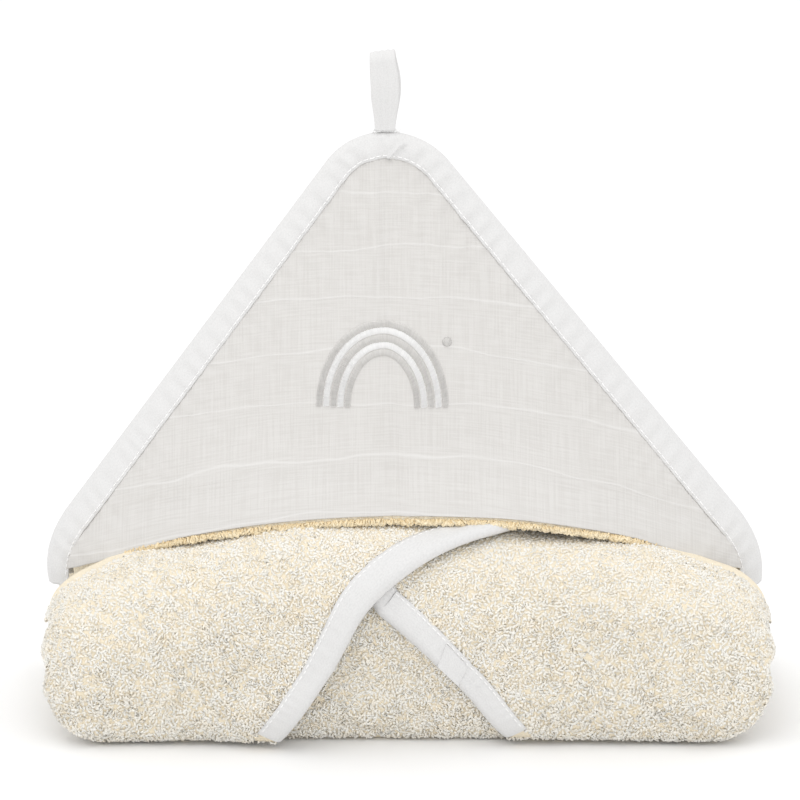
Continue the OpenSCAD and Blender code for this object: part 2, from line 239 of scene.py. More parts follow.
# %% [markdown]
# ## Finishes
# Terry is two finishes: the loops that catch the light, and the ground weave that
# shows between them, coloured darker and warmer as painted shade, since light reaches it only by way of
# other loops.
# Muslin shows its warp as fine upright lines, and a thicker weft row now and then.
# The patterns follow the cloth's own UV map, so they bend where the cloth bends.

# %% A small kit for node materials
def new_material(name, colour, roughness, sheen=0.0):
    """A Principled material with fixed roughness and sheen. Returns it with its tree and shader."""
    material = bpy.data.materials.new(name)
    material.use_nodes = True
    tree = material.node_tree
    shader = tree.nodes["Principled BSDF"]
    shader.inputs["Base Color"].default_value = (*colour, 1)
    shader.inputs["Roughness"].default_value = roughness
    shader.inputs["Sheen Weight"].default_value = sheen
    shader.inputs["Sheen Roughness"].default_value = 0.6
    shader.inputs["Specular IOR Level"].default_value = 0.15
    return material, tree, shader


def node(tree, kind, values=None, **settings):
    """A new node with its sockets and settings filled in."""
    made = tree.nodes.new(kind)
    for key, value in settings.items():
        setattr(made, key, value)
    for key, value in (values or {}).items():
        made.inputs[key].default_value = value
    return made


def join(tree, a, out, b, into):
    tree.links.new(a.outputs[out], b.inputs[into])


def stretched_noise(tree, source, scale, noise_scale, detail=2.0):
    """Noise whose coordinates are multiplied by scale first. Source is UV or Object."""
    place = node(tree, "ShaderNodeTexCoord")
    mapping = node(tree, "ShaderNodeMapping", {"Scale": scale})
    noise = node(tree, "ShaderNodeTexNoise", {"Scale": noise_scale, "Detail": detail})
    join(tree, place, source, mapping, "Vector")
    join(tree, mapping, "Vector", noise, "Vector")
    return noise


def shade_by(tree, source, out, shader, dark, light, low=0.35, high=0.65):
    """Colours the shader from dark to light as the source goes from low to high."""
    ramp = node(tree, "ShaderNodeMapRange", {"From Min": low, "From Max": high})
    blend = node(tree, "ShaderNodeMix", data_type="RGBA")
    blend.inputs["A"].default_value = (*dark, 1)
    blend.inputs["B"].default_value = (*light, 1)
    join(tree, source, out, ramp, "Value")
    join(tree, ramp, "Result", blend, "Factor")
    tree.links.new(blend.outputs["Result"], shader.inputs["Base Color"])
    return blend


def shade_by_tint(tree, shader, dark, light):
    """Colours each thread or loop by the tint that its points carry."""
    tint = node(tree, "ShaderNodeAttribute", attribute_name="tint")
    shade_by(tree, tint, "Fac", shader, dark, light, 0.0, 1.0)


def bump(tree, source, out, shader, height, strength=1.0):
    """Bump of the given height in metres."""
    made = node(tree, "ShaderNodeBump", {"Strength": strength, "Distance": height})
    join(tree, source, out, made, "Height")
    join(tree, made, "Normal", shader, "Normal")


def add(tree, a, b):
    """A node that adds two sources, each given as a node and its output."""
    made = node(tree, "ShaderNodeMath", operation="ADD")
    join(tree, *a, made, 0)
    join(tree, *b, made, 1)
    return made


def times(tree, source, out, factor, operation="MULTIPLY"):
    made = node(tree, "ShaderNodeMath", {1: factor}, operation=operation)
    join(tree, source, out, made, 0)
    return made


# %% Terry
LOOP_LIGHT = (0.895, 0.88, 0.835)
# painted shade: the warm colour that a loop's foot takes, for the shade near the ground weave
LOOP_SHADE_WARM = (0.905, 0.80, 0.62)
# painted shade: the ground weave's colour is darker and warmer than the loops, standing in for the shade
# between them
SHADED_GROUND = (0.905, 0.82, 0.65)

terry_loop, tree, shader = new_material("terry_loop", LOOP_LIGHT, 0.95, 0.15)
shade_by_tint(tree, shader, LOOP_SHADE_WARM, LOOP_LIGHT)
yarn = stretched_noise(tree, "Object", (1, 1, 1), 1600)
bump(tree, yarn, "Fac", shader, 0.0002, 0.35)

# painted shade: the ground weave ramps between two warm shaded colours, and the noise varies its tone
terry_ground, tree, shader = new_material("terry_ground", SHADED_GROUND, 1.0, 0.1)
weave = stretched_noise(tree, "Object", (1, 1, 1), 700, 3)
shade_by(tree, weave, "Fac", shader, tuple(c * 0.93 for c in SHADED_GROUND), LOOP_SHADE_WARM)
bump(tree, weave, "Fac", shader, 0.0012)

# painted shade: the lining is seen only in the hood's shade, where light comes through the cloth, so its
# loops are coloured as a darker golden copy of the terry
LINING_SHADED_LIGHT = (0.93, 0.82, 0.60)
LINING_SHADED_WARM = (0.88, 0.70, 0.42)
shaded_lining_loop, tree, shader = new_material("shaded_lining_loop", LINING_SHADED_LIGHT, 0.95, 0.3)
shade_by_tint(tree, shader, LINING_SHADED_WARM, LINING_SHADED_LIGHT)

# %% Muslin
MUSLIN_LIGHT = (0.655, 0.64, 0.62)
MUSLIN_DARK = (0.605, 0.588, 0.566)
SLUB_GAP = 0.0235

muslin, tree, shader = new_material("muslin", MUSLIN_LIGHT, 0.9, 0.1)
warp = stretched_noise(tree, "UV", (1400, 45, 1), 1, 1)
weft = stretched_noise(tree, "UV", (60, 1500, 1), 1, 1)
halved = times(tree, add(tree, (warp, "Fac"), (weft, "Fac")), 0, 0.5)
plain = shade_by(tree, halved, 0, shader, MUSLIN_DARK, MUSLIN_LIGHT, 0.38, 0.6)
# a thicker weft row every SLUB_GAP, wandering a little along its length
wander = stretched_noise(tree, "UV", (14, 30, 1), 1, 2)
place = node(tree, "ShaderNodeTexCoord")
split = node(tree, "ShaderNodeSeparateXYZ")
join(tree, place, "UV", split, 0)
rows = times(tree, split, "Y", 2 / SLUB_GAP)
drift = times(tree, wander, "Fac", 1.3)
shifted = add(tree, (rows, 0), (drift, 0))
wave = times(tree, shifted, 0, 1.0, "PINGPONG")
slub = node(tree, "ShaderNodeMapRange", {"From Min": 0.06, "From Max": 0.0})
join(tree, wave, 0, slub, "Value")
bright = node(tree, "ShaderNodeMix", data_type="RGBA")
bright.inputs["B"].default_value = (0.76, 0.75, 0.735, 1)
tree.links.new(plain.outputs["Result"], bright.inputs["A"])
thick = times(tree, slub, "Result", 0.5)
join(tree, thick, 0, bright, "Factor")
tree.links.new(bright.outputs["Result"], shader.inputs["Base Color"])
relief = add(tree, (halved, 0), (thick, 0))
bump(tree, relief, 0, shader, 0.0003, 0.8)

# %% Binding tape and threads
TAPE_LIGHT = (0.72, 0.715, 0.71)
TAPE_DARK = (0.665, 0.66, 0.655)

binding_tape, tree, shader = new_material("binding_tape", TAPE_LIGHT, 0.85, 0.1)
lines = stretched_noise(tree, "UV", (1500, 1500, 1), 1, 2)
shade_by(tree, lines, "Fac", shader, TAPE_DARK, TAPE_LIGHT, 0.3, 0.62)
bump(tree, lines, "Fac", shader, 0.00025, 0.8)

grey_thread, tree, shader = new_material("grey_thread", (0.60, 0.575, 0.55), 0.45, 0.1)
shade_by_tint(tree, shader, (0.65, 0.635, 0.615), (0.75, 0.735, 0.715))

white_thread, tree, shader = new_material("white_thread", (0.86, 0.85, 0.84), 0.45, 0.1)
shade_by_tint(tree, shader, (0.86, 0.855, 0.85), (0.95, 0.945, 0.94))

# %% [markdown]
# ## The pile
# A terry loop is a short arch of yarn that stands out of the ground weave and leans.
# Each loop here is a real arch: a three-sided tube with five rings, 24 triangles.
# One loop goes in each cell of a grid whose cells are one loop apart, moved about at
# random inside its cell. A smooth field leans neighbours the same way, so the pile
# clumps into tufts as washed terry does.

# %% Loops on a surface
TERRY_LOOP = 1.05     # height of a loop
YARN = 0.62           # radius of its yarn
LOOP_SUNK = 0.6       # how deep its two ends are in the cloth


def loops(base, normal, height, seed):
    """Arches of yarn. The middle line goes along the cloth as a cosine and out of it as a sine."""
    rng = np.random.default_rng(seed)
    count = len(base)
    side_a = unit(np.cross(normal, [0.31, 0.42, 0.85]))
    side_b = np.cross(normal, side_a)
    swirl = undulation(base, 17, 5) * 3.2 + rng.normal(0, 0.9, count)
    along = np.cos(swirl)[:, None] * side_a + np.sin(swirl)[:, None] * side_b
    side = np.cross(normal, along)
    tilt = 0.75 * undulation(base, 9, 6) + rng.normal(0, 0.25, count)
    fall = -0.35 * np.array([0, 0, 1.0]) + 0.25 * undulation(base, 13, 7)[:, None] * side_a
    rise = normal + tilt[:, None] * side + fall
    high = height * (1 + 0.22 * undulation(base, 7.5, 8) + rng.uniform(-0.18, 0.18, count))
    span = rng.uniform(0.55, 1.15, count)
    twist = rng.normal(0, 0.45, count)
    k = np.linspace(0, np.pi, 5)[None, :, None]
    ahead = (span[:, None] * along)[:, None]
    outward_by = (high[:, None] * rise)[:, None]
    aside = (twist[:, None] * side)[:, None]
    line = (base[:, None] - np.cos(k) * ahead + np.sin(k) * outward_by + np.sin(2 * k) * aside
            - LOOP_SUNK * normal[:, None])
    run = unit(np.sin(k) * ahead + np.cos(k) * outward_by + 2 * np.cos(2 * k) * aside)
    across = unit(side[:, None] - run * (run * side[:, None]).sum(-1, keepdims=True))
    up = np.cross(run, across)
    turn = np.array([0, 2, 4]) * np.pi / 3
    thick = YARN * (0.8 + 0.35 * np.sin(k[..., None]))
    rings = (line[:, :, None] + thick * (np.cos(turn)[None, None, :, None] * across[:, :, None]
                                          + np.sin(turn)[None, None, :, None] * up[:, :, None]))
    points = rings.reshape(-1, 3)
    i, j = np.meshgrid(np.arange(4), np.arange(3), indexing="ij")
    one = np.stack([i * 3 + j, i * 3 + (j + 1) % 3, (i + 1) * 3 + (j + 1) % 3, (i + 1) * 3 + j], -1)
    quads = (np.arange(count)[:, None, None] * 15 + one.reshape(1, -1, 4)).reshape(-1, 4)
    shade = np.clip(0.85 + 0.22 * undulation(base, 8, 9) + rng.uniform(-0.2, 0.2, count), 0, 1)
    # painted shade: a loop is coloured warm at its foot, standing in for the shade and the light that
    # comes off the ground weave, and pale at its top
    painted_foot_shade = np.repeat(np.array([0.1, 0.8, 1.0, 0.8, 0.1]), 3)
    return points, quads, (shade[:, None] * painted_foot_shade).ravel()


def even(surface_line, low, high, count=600):
    """Returns a function from a share of a line's length to the line's parameter, and the length."""
    values = np.linspace(low, high, count)
    steps = np.linalg.norm(np.diff(surface_line(values), axis=0), axis=1)
    length = np.concatenate([[0], np.cumsum(steps)])
    return (lambda share: np.interp(share, length / length[-1], values)), length[-1]


def scatter(surface, a_range, b_range, step, seed, keep=None):
    """One random point in each cell of a grid about one step apart. Returns places and normals."""
    rng = np.random.default_rng(seed)
    a_at, a_length = even(lambda a: surface(a, np.full(len(a), np.mean(b_range))), *a_range)
    b_at, b_length = even(lambda b: surface(np.full(len(b), np.mean(a_range)), b), *b_range)
    n_a, n_b = int(a_length / step) + 1, int(b_length / step) + 1
    i, j = np.meshgrid(np.arange(n_a), np.arange(n_b), indexing="ij")
    ta = ((i + 0.45 * (j % 2) + rng.uniform(0.1, 0.9, i.shape)) / (n_a + 0.5)).ravel()
    tb = ((j + rng.uniform(0.1, 0.9, i.shape)) / n_b).ravel()
    bit = 1e-3
    here = surface(a_at(ta), b_at(tb))
    side_a = (surface(a_at(ta + bit), b_at(tb)) - surface(a_at(ta - bit), b_at(tb))) / (2 * bit)
    side_b = (surface(a_at(ta), b_at(tb + bit)) - surface(a_at(ta), b_at(tb - bit))) / (2 * bit)
    across_both = np.cross(side_a, side_b)
    cell = np.linalg.norm(across_both, axis=1) / (n_a * n_b) / step ** 2
    chosen = rng.uniform(0, 1, len(ta)) < cell
    if keep is not None:
        chosen &= keep(a_at(ta), b_at(tb), here)
    return here[chosen], unit(across_both)[chosen]


def make_pile(name, places, normals, body=None, height=TERRY_LOOP, seed=1, material=terry_loop):
    points, quads, shade = loops(places, normals, height, seed)
    piece = make_open_piece(name, points, quads, material, shade)
    if body:
        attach(piece, body)
    print(name, len(places), "loops")
    return piece


def make_open_piece(name, points, quads, material, tint=None):
    """Many small tubes as one mesh, with each tube's two ends sunk in the cloth."""
    starts = np.arange(0, quads.size, 4)
    mesh = fill_mesh(name, (points + [0, MID_Y, 0]) * 0.001, quads.ravel(), starts, tint)
    mesh.update(calc_edges=True)
    return link_piece(name, mesh, material)


# %% [markdown]
# ## The roll's section
# Across the roll, the skin is a squared ellipse that has settled flat on the floor.
# It is highest in the middle and lower at both ends, and its ends are round. A girth
# is the way up the front of the skin, counted so that it equals the height at the
# deepest point. Every layer on the roll is drawn on this one section with its own
# lift, and the soft bumps are in the section, so layers never cross.

# %% Section and girth
HALF_W = (ROLL_HIGH[0] - ROLL_LOW[0]) / 2 - 2
ROLL_D = 116
ROLL_H = 90
END_H = 58
SAG = 3
POWER = 3
END_ZONE = 20
END_ROUND = 14
CORE_H = (ROLL_H + SAG) / 2
TURNS = 2.6
PITCH = (CORE_H - 5) / 3
BUMP = 1.3
SHOULDER = 4.0


def height_at(x):
    return mix(ROLL_H, END_H, np.minimum(1, np.abs(x) / HALF_W) ** 3)


def short(angle):
    """How far short of the full width a layer's end stops: the ends tuck in at the floor."""
    height = np.clip((np.asarray(angle) + 60) / 75, 0, 1)
    around = np.clip((240 - np.asarray(angle)) / 75, 0, 1)
    return 13 * (1 - np.minimum(height, around)) ** 2


def end_in(x, angle):
    """The skin turns in at the ends along a quarter of an ellipse."""
    t = np.clip((np.abs(x) + short(angle) - HALF_W + END_ZONE) / END_ZONE, 0, 1)
    return END_ROUND * (1 - np.sqrt(1 - t * t * 0.985))


def squared(c):
    return np.sign(c) * np.abs(c) ** (2 / POWER)


def section(x, angle, lift):
    """Squared ellipse: depth goes as the cosine and height as the sine, to the power two thirds."""
    x, angle, lift = spread(x, angle, lift)
    turned = np.radians(angle)
    bumps = undulation(np.stack([x, 60 * np.cos(turned), 60 * np.sin(turned)], -1), 52, 3)
    lift = lift + BUMP * bumps * np.clip((np.sin(turned) + 0.9) / 0.5, 0, 1)
    from_ends = 1 - np.minimum(1, np.abs(x) / HALF_W) ** 3
    lift = lift + SHOULDER * np.exp(-((angle - 58) / 26) ** 2) * from_ends
    inset = end_in(x, angle)
    b = (height_at(x) + SAG) / 2
    ry, rz = ROLL_D / 2 - inset, b - inset
    # below the deepest point the section is squarer, as the weight spreads the foot
    steep = np.where(np.sin(turned) < 0, 1 / 3, 1)
    up = squared(np.sin(turned))
    ahead = np.sign(np.cos(turned)) * np.abs(squared(np.cos(turned))) ** steep
    in_y = np.where(lift < 0, -lift * 2 * ry / ROLL_D, -lift)
    in_z = np.where(lift < 0, -lift * rz / CORE_H, np.where(up > 0, -lift, 0))
    z = b - SAG + (rz - in_z) * up
    floor = np.where(lift <= 0, in_z + inset * 0.6, 0.2)
    return np.stack([x, -(ry - in_y) * ahead, np.maximum(z, floor)], -1)


skin_angles = np.arange(-62, 124, 0.5)
skin_line = section(0, skin_angles, 0)
arc = np.concatenate([[0], np.cumsum(np.linalg.norm(np.diff(skin_line, axis=0), axis=1))])
girths = arc - np.interp(0, skin_angles, arc) + (ROLL_H - SAG) / 2
print("the girth goes from", round(girths[0]), "to", round(girths[-1]), "mm")


def angle_at(girth):
    return np.interp(girth, girths, skin_angles)


def over_roll(x, girth, lift):
    return section(x, angle_at(girth), lift)


# %% [markdown]
# ## The roll
# The rolled part is the square with both its sides folded in, so each turn is two
# layers of terry, and both its ends are folds. A folded edge is round. The outline
# of one turn, a long bar with two round ends, is carried round the spiral. Each
# turn's folds end at a slightly different place, as rolled cloth never lines up.

# %% The spiral of plies
ROLL_START = 113
PLY = PITCH - 0.8


def ply_depth(turn):
    """One pitch deeper each turn, stepping in over the last part of the turn."""
    whole = np.floor(turn)
    return PITCH * (whole + ease((turn - whole - 0.85) / 0.15))


def ply_point(turn, w):
    """A point on the ply's outline. w goes along the skin from -1 to 1, round the right
    fold from 1 to 2, back along the inside from 2 to 3, and round the left fold to 4."""
    turn, w = spread(turn, w)
    angle = ROLL_START + 360 * turn
    wrapped = (angle + 90) % 360 - 90
    reach = HALF_W - 2 - short(wrapped) - 1.6 * (1 + np.sin(turn * 9.2 + 1 + 2 * (w > 2.5)))
    tip = PLY * 0.45
    end = np.minimum(1, np.minimum(turn, TURNS - turn) / 0.02 + 0.2)
    half = PLY / 2 * np.sqrt(end)
    flat = reach - tip
    bend = np.where(w < 2.5, w - 1, 4 - w) * np.pi
    x = np.where(w < 1, w * flat,
        np.where(w < 2, flat + tip * np.sin(bend),
        np.where(w < 3, (2.5 - w) * 2 * flat, -flat - tip * np.sin(bend))))
    depth = np.where(w < 1, -half, np.where((w >= 2) & (w < 3), half, -half * np.cos(bend)))
    return section(x, angle, -(ply_depth(turn) + PLY / 2 + depth))


turn_steps = np.linspace(0, TURNS, 200)
outline_parts = [(-1, 1, 90), (1, 2, 14), (2, 3, 50), (3, 4, 14)]
outline_w = np.concatenate([np.linspace(*part, endpoint=False) for part in outline_parts])
grid_t, grid_w = np.meshgrid(turn_steps, outline_w, indexing="ij")
roll = make_piece("towel_roll_plies", [tube(ply_point(grid_t, grid_w))], terry_ground,
                  "bundle", ["towel_roll"])

# %% [markdown]
# ## The wrapped corners
# The two side corners of the square come round to the front. Each is one layer: it
# lies on the roll from the end to the crease, and on past the crease to its bound
# edge. The left corner lies over the right one, so it climbs where they cross. The
# last few millimetres of each edge are rounded, since a fold of terry is.

# %% Edges and lifts of the wraps
WRAP_FOOT, WRAP_TOP = 2.2, 120
WRAP_T = 4.5
RIGHT_LIFT, LEFT_LIFT = 1.45, 9.1
TAPE_T = 0.9


def left_edge(s):
    """Straight up the front, then turning over to the right under the mouth."""
    t, q = np.clip(s - 58, 0, 39), np.clip(s - 97, 0, 10)
    return -62 + 0.633 * s + 0.024 * t * t + 1.872 * (q - q * q / 20)


def right_edge(s):
    t = np.clip(s - 20, 0, 45)
    return 48 - 0.74 * s - 0.0065 * t * t


def edge_of(left, s):
    return left_edge(s) if left else right_edge(s)


def over(left, x):
    """How high a corner's inner face is over the skin. The left one climbs over the right one."""
    climb = ease((x + 103) / 58) if left else 0 * np.asarray(x)
    return mix(RIGHT_LIFT, LEFT_LIFT, climb)


def far_end(s):
    """Where a corner's folded side ends, with the soft scallops of the plies behind it."""
    scallop = 1.3 * (1 - np.cos((s - 8) * 2 * np.pi / 33)) * (s < 100)
    return HALF_W - 0.6 - short(angle_at(s)) - scallop


def corner_span(left, s):
    """The x of a corner's folded end and of its bound edge, from left to right."""
    return (-far_end(s), edge_of(left, s)) if left else (edge_of(left, s), far_end(s))


def rounded(distance, radius, least):
    """A quarter circle from least at a border to 1 at one radius in."""
    return np.sqrt(np.clip(1 - (1 - np.clip(distance / radius, 0, 1)) ** 2, least, 1))


def corner_point(left, x, s, side):
    """side is 1 on the skin, -1 on the inner face. All three free borders are round."""
    low, high = corner_span(left, s)
    to_end = (x - low) if left else (high - x)
    to_edge = (high - x) if left else (x - low)
    round_end, round_edge = rounded(to_end, 4.5, 0.01), rounded(to_edge, 1.6, 0.04)
    round_foot = rounded(s - WRAP_FOOT, 5, 0.05)
    press = 0.25 * (1 - ease((to_edge - 15) / 8))
    half = WRAP_T / 2 - press
    return over_roll(x, s, over(left, x) + WRAP_T / 2 + side * half * round_end * round_edge * round_foot)


def corner_grid(left, rows, cols, side):
    girth = np.linspace(WRAP_FOOT, WRAP_TOP, rows)
    s, t = np.meshgrid(girth, np.linspace(0, 1, cols), indexing="ij")
    t = t - 0.06 * np.sin(2 * np.pi * t)
    return corner_point(left, mix(*corner_span(left, s), t), s, side)


def make_corner(left):
    side = "left" if left else "right"
    solid = shell(corner_grid(left, 90, 150, 1), corner_grid(left, 90, 150, -1))
    piece = make_piece(side + "_corner", [solid], terry_ground, None,
                       [side + "_side_fold", side + "_wrap"])
    return piece


def bend_corner(piece):
    """Bakes the piece's transform into its points."""
    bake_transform(piece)


corners = {left: make_corner(left) for left in (True, False)}

# %% [markdown]
# ## The bound edges of the wraps
# One strip of bias tape is folded over the edge and sewn down near its own edge.
# The stitches pull the tape in, so it puckers at the seam and stays full along the
# fold. Distances run square to the edge, as the tape does.

# %% Tape round an edge
BINDING_W = 12
STITCH_IN = BINDING_W - 1.4
TAPE_GAP = 0.35                        # clear space between the cloth and the tape
TAPE_MID = WRAP_T / 2 + TAPE_GAP       # half the height of the folded tape's inside
TAPE_TOP = WRAP_T + TAPE_GAP + TAPE_T
RUN_PER_GIRTH = 1.25                   # length of a slanting edge for each mm of girth


def in_from_edge(left, s, r):
    slope = edge_of(left, s + 0.5) - edge_of(left, s - 0.5)
    n = np.sqrt(1 + slope * slope)
    sign = -1 if left else 1
    return edge_of(left, s) + sign * r / n, s - sign * slope * r / n


def tape_point(left, s, r, lift):
    x, girth = in_from_edge(left, s, r)
    return over_roll(x, np.clip(girth, WRAP_FOOT + 0.6, WRAP_TOP), over(left, x) + lift)


def folded_profile(half, width, count=9):
    """How far in and how far up a tape lies, from one raw edge round the fold to the other."""
    flat = np.linspace(width, half, count)
    bend = np.linspace(np.pi / 2, -np.pi / 2, 9)[1:-1]
    r = np.concatenate([flat, half - (half + 0.2) * np.cos(bend), flat[::-1]])
    up = np.concatenate([np.full(count, half), half * np.sin(bend), np.full(count, -half)])
    return r, up


def tape_pucker(length, r, seed):
    """Small gathers across the tape: strong at the stitches and fading towards the fold."""
    wander = undulation(np.stack([length, 0 * length, 0 * length], -1), 24, seed)
    along = length / 5.6 * 2 * np.pi + 1.8 * wander
    near = np.exp(-np.abs(r - STITCH_IN) / 5.5)
    slow = undulation(np.stack([length, 6 * r, 0 * length], -1), 30, seed + 1)
    full = 1 - np.exp(-r / 3)
    pulled_in = 0.35 * np.exp(-(r - STITCH_IN) ** 2 / 1.2)
    return (0.26 * near * np.sin(along) + 0.30 * slow) * full - pulled_in


tape_s = np.linspace(3.4, WRAP_TOP - 8, 260)


def make_wrap_tape(left):
    side = "left" if left else "right"
    r, up = folded_profile(TAPE_MID, BINDING_W)
    s, r_grid = np.meshgrid(tape_s, r, indexing="ij")
    up = np.broadcast_to(up, s.shape)
    length = s * RUN_PER_GIRTH
    gather = tape_pucker(length, r_grid, 31 if left else 41)
    thin = TAPE_T / 2 * np.clip(np.abs(r_grid - BINDING_W) / 1.0 + 0.35, 0, 1)
    fold = np.clip(up / TAPE_MID, -1, 1)
    puff = np.where(up > 0, np.maximum(gather, -0.3), 0) * np.abs(fold)
    def skin(t):
        lift = WRAP_T / 2 + up + fold * (t + 0.1) + puff
        return tape_point(left, s, r_grid - (1 - np.abs(fold)) * (t - 0.2), lift)
    solid = shell(skin(thin * 2), skin(0 * thin))
    uv = np.stack([length, r_grid], -1).reshape(-1, 2) * 0.001
    piece = make_piece(side + "_wrap_tape", [solid], binding_tape, side + "_wrap",
                       [side + "_wrap_binding"], np.concatenate([uv, uv]))
    return piece


for left in (True, False):
    make_wrap_tape(left)

# %% Stitches
STITCH, STITCH_GAP, THREAD_R = 2.6, 3.3, 0.27


def stitch_line(path, up):
    """One short thread for each stitch: the middle stands up and both ends go into the tape."""
    steps = np.concatenate([[0], np.cumsum(np.linalg.norm(np.diff(path, axis=0), axis=1))])
    count = int(steps[-1] / STITCH_GAP)
    t = np.linspace(-0.5, 0.5, 7)
    at = (np.arange(count) + 0.5)[:, None] * STITCH_GAP + t[None] * STITCH
    line = np.stack([np.interp(at, steps, path[:, k]) for k in range(3)], -1)
    normal = np.stack([np.interp(at, steps, up[:, k]) for k in range(3)], -1)
    line = line + normal * (0.62 * np.cos(np.pi * t)[None, :, None] - 0.35)
    run = unit(np.gradient(line, axis=1))
    side = unit(np.cross(normal, run))
    high = np.cross(run, side)
    turn = np.arange(6) * np.pi / 3
    around = np.cos(turn)[:, None] * side[:, :, None] + np.sin(turn)[:, None] * high[:, :, None]
    rings = line[:, :, None] + THREAD_R * around
    return [tube(rings[k]) for k in range(count)]


def make_wrap_stitches(left):
    side = "left" if left else "right"
    s = tape_s[4:]
    path = tape_point(left, s, STITCH_IN, TAPE_TOP - 0.25)
    higher = tape_point(left, s, STITCH_IN, TAPE_TOP + 0.75)
    solids = stitch_line(path, unit(higher - path))
    make_piece(side + "_wrap_stitches", solids, white_thread, side + "_wrap",
               [side + "_wrap_topstitch"], tint=0.5)


for left in (True, False):
    make_wrap_stitches(left)

# %% The lapped join on the right wrap
s, r = np.meshgrid(np.linspace(34, 44, 40), np.linspace(0.2, STITCH_IN - 0.6, 30), indexing="ij")
slant = s + (r - 6) * 0.25
rise = np.sqrt(np.clip(1 - ((s - 39) / 5) ** 4, 0.0, 1)) * 0.75
lap_solid = shell(tape_point(False, slant, r, TAPE_TOP + 0.15 + rise),
                  tape_point(False, slant, r, TAPE_TOP - 0.35))
lap_uv = np.tile(np.stack([s * RUN_PER_GIRTH, r], -1).reshape(-1, 2) * 0.001, (2, 1))
lap = make_piece("binding_lap", [lap_solid], binding_tape, "right_wrap",
                 ["binding_join"], lap_uv)

# %% [markdown]
# ## The hood
# The hood is the square's fourth corner, with a triangle of muslin and a triangle
# of terry sewn to it along two sides. Its front bellies forward over the roll and
# its back leans on the roll. The seam between them is flat. The muslin hangs in
# slow waves and is drawn into small gathers beside the binding.

# %% The hood's outline and bulge
HOOD_TOP = 276
APEX_R = 35
LEFT_SKIN = 15.3
MOUTH_Z = ROLL_H + LEFT_SKIN + 3
CORNER_Z = MOUTH_Z - 46
CORNER_RUN = 32
SEAM_Y, SEAM_HALF = 12, 2
APEX_X, CORNER_X = -10, -1.5
FRONT_BULGE, BACK_BULGE = 45, 36
FACE_T, LINING_T, BACK_T = 1.0, 3.5, 4.5

side_slope = 0.8
for _ in range(4):
    lean = math.atan(side_slope)
    side_slope = (HALF_W - APEX_R * math.cos(lean)) / (
        HOOD_TOP - APEX_R * (1 - math.sin(lean)) - CORNER_Z - CORNER_RUN / 2)
lean = math.atan(side_slope)
ROUND_END_Z = HOOD_TOP - APEX_R * (1 - math.sin(lean))
print("the seam leans", round(math.degrees(lean), 1), "degrees from upright")


def half_at(z):
    """Half the hood's width: a circle at the top, straight sides and a soft corner."""
    z = np.asarray(z, float)
    circle = np.sqrt(np.maximum(0.01, APEX_R ** 2 - (z - HOOD_TOP + APEX_R) ** 2))
    d = np.maximum(0, CORNER_Z + CORNER_RUN - z)
    straight = ROUND_END_Z - np.maximum(z, CORNER_Z + CORNER_RUN)
    side = (APEX_R * math.cos(lean) + side_slope * straight
            + side_slope * (d - d * d / (2 * CORNER_RUN)))
    return np.where(z > ROUND_END_Z, circle, side)


def fall(z):
    return np.maximum(0, (HOOD_TOP - z) / (HOOD_TOP - MOUTH_Z))


def full_fall(z):
    return np.maximum(0, (HOOD_TOP - z) / (HOOD_TOP - CORNER_Z))


def middle_x(z):
    return mix(APEX_X, CORNER_X, full_fall(z))


def half_below_top(z):
    return half_at(np.minimum(z, HOOD_TOP - 0.3))


def across(x, z):
    return np.minimum(1, ((x - middle_x(z)) / half_below_top(z)) ** 2)


def drape(x, z):
    """How far the cloth stands off its smooth shape: slow waves, and gathers beside the seam."""
    x, z = spread(x, z)
    off = x - middle_x(z)
    from_seam = np.maximum(0, (half_below_top(z) - np.abs(off)) * math.cos(lean))
    side = np.tanh(off / 6)
    along = np.abs(off) * math.sin(lean) + (HOOD_TOP - z) * math.cos(lean)
    wave = undulation(np.stack([x, 40 * side, 0.45 * z], -1), 62, 11) * 1.5 * ease(from_seam / 45)
    wander = undulation(np.stack([along, 30 * side, 0 * z], -1), 34, 12)
    phase = along * 2 * np.pi / 9.5 + 2.2 * wander
    gather = 0.55 * np.sin(phase) * np.exp(-(from_seam / 20) ** 1.3) * ease(from_seam / 3)
    tall = 0.5 * np.sin(off / 9 * 2 * np.pi / 1.1) * ease((z - 190) / 50) * ease(from_seam / 10)
    return wave + gather + tall


def front_y(x, z):
    reach = FRONT_BULGE * fall(z) ** 1.1 + 5 * ease((fall(z) - 0.8) / 0.2)
    return SEAM_Y - SEAM_HALF - reach * (1 - across(x, z) ** 1.3) - drape(x, z)


def rear_y(x, z):
    x, z = spread(x, z)
    inside = 1 - across(x, z)
    wave = 1.6 * undulation(np.stack([x, 0 * x, 0.5 * z], -1), 70, 13) * inside
    bulge = BACK_BULGE * full_fall(np.minimum(z, HOOD_TOP)) ** 0.8 * inside
    return SEAM_Y + SEAM_HALF + bulge + wave * ease((z - 100) / 60)


def thin(u, z):
    return (0.35 + 0.65 * (1 - np.abs(u) ** 4)) * np.minimum(1, 0.35 + 6 * fall(z))


def mouth_edge(u):
    return CORNER_Z + 43 * (1 - np.abs(u) ** 2.3)


def roof(x, y):
    under = 1 - np.minimum(0.99, np.abs(y) / (ROLL_D / 2)) ** POWER
    return height_at(x) - (height_at(x) + SAG) / 2 * (1 - under ** (1 / POWER))


def back_edge(u):
    x = CORNER_X + u * half_at(CORNER_Z)
    return np.maximum(CORNER_Z, roof(x, rear_y(x, ROLL_H - 8) - BACK_T) + 2.0)


BAND = 17


def flare(z_above):
    """How far the mouth's band flares forward, so its upper side faces up, with a dip above it."""
    t = np.clip(z_above / BAND, 0, 2)
    in_band = np.clip(t, 0, 1)
    dip = 0.5 * np.exp(-((t - 1.2) / 0.2) ** 2)
    return 4.5 * (1 - in_band) ** 1.6 + 1.4 * np.sin(np.pi * in_band) - dip


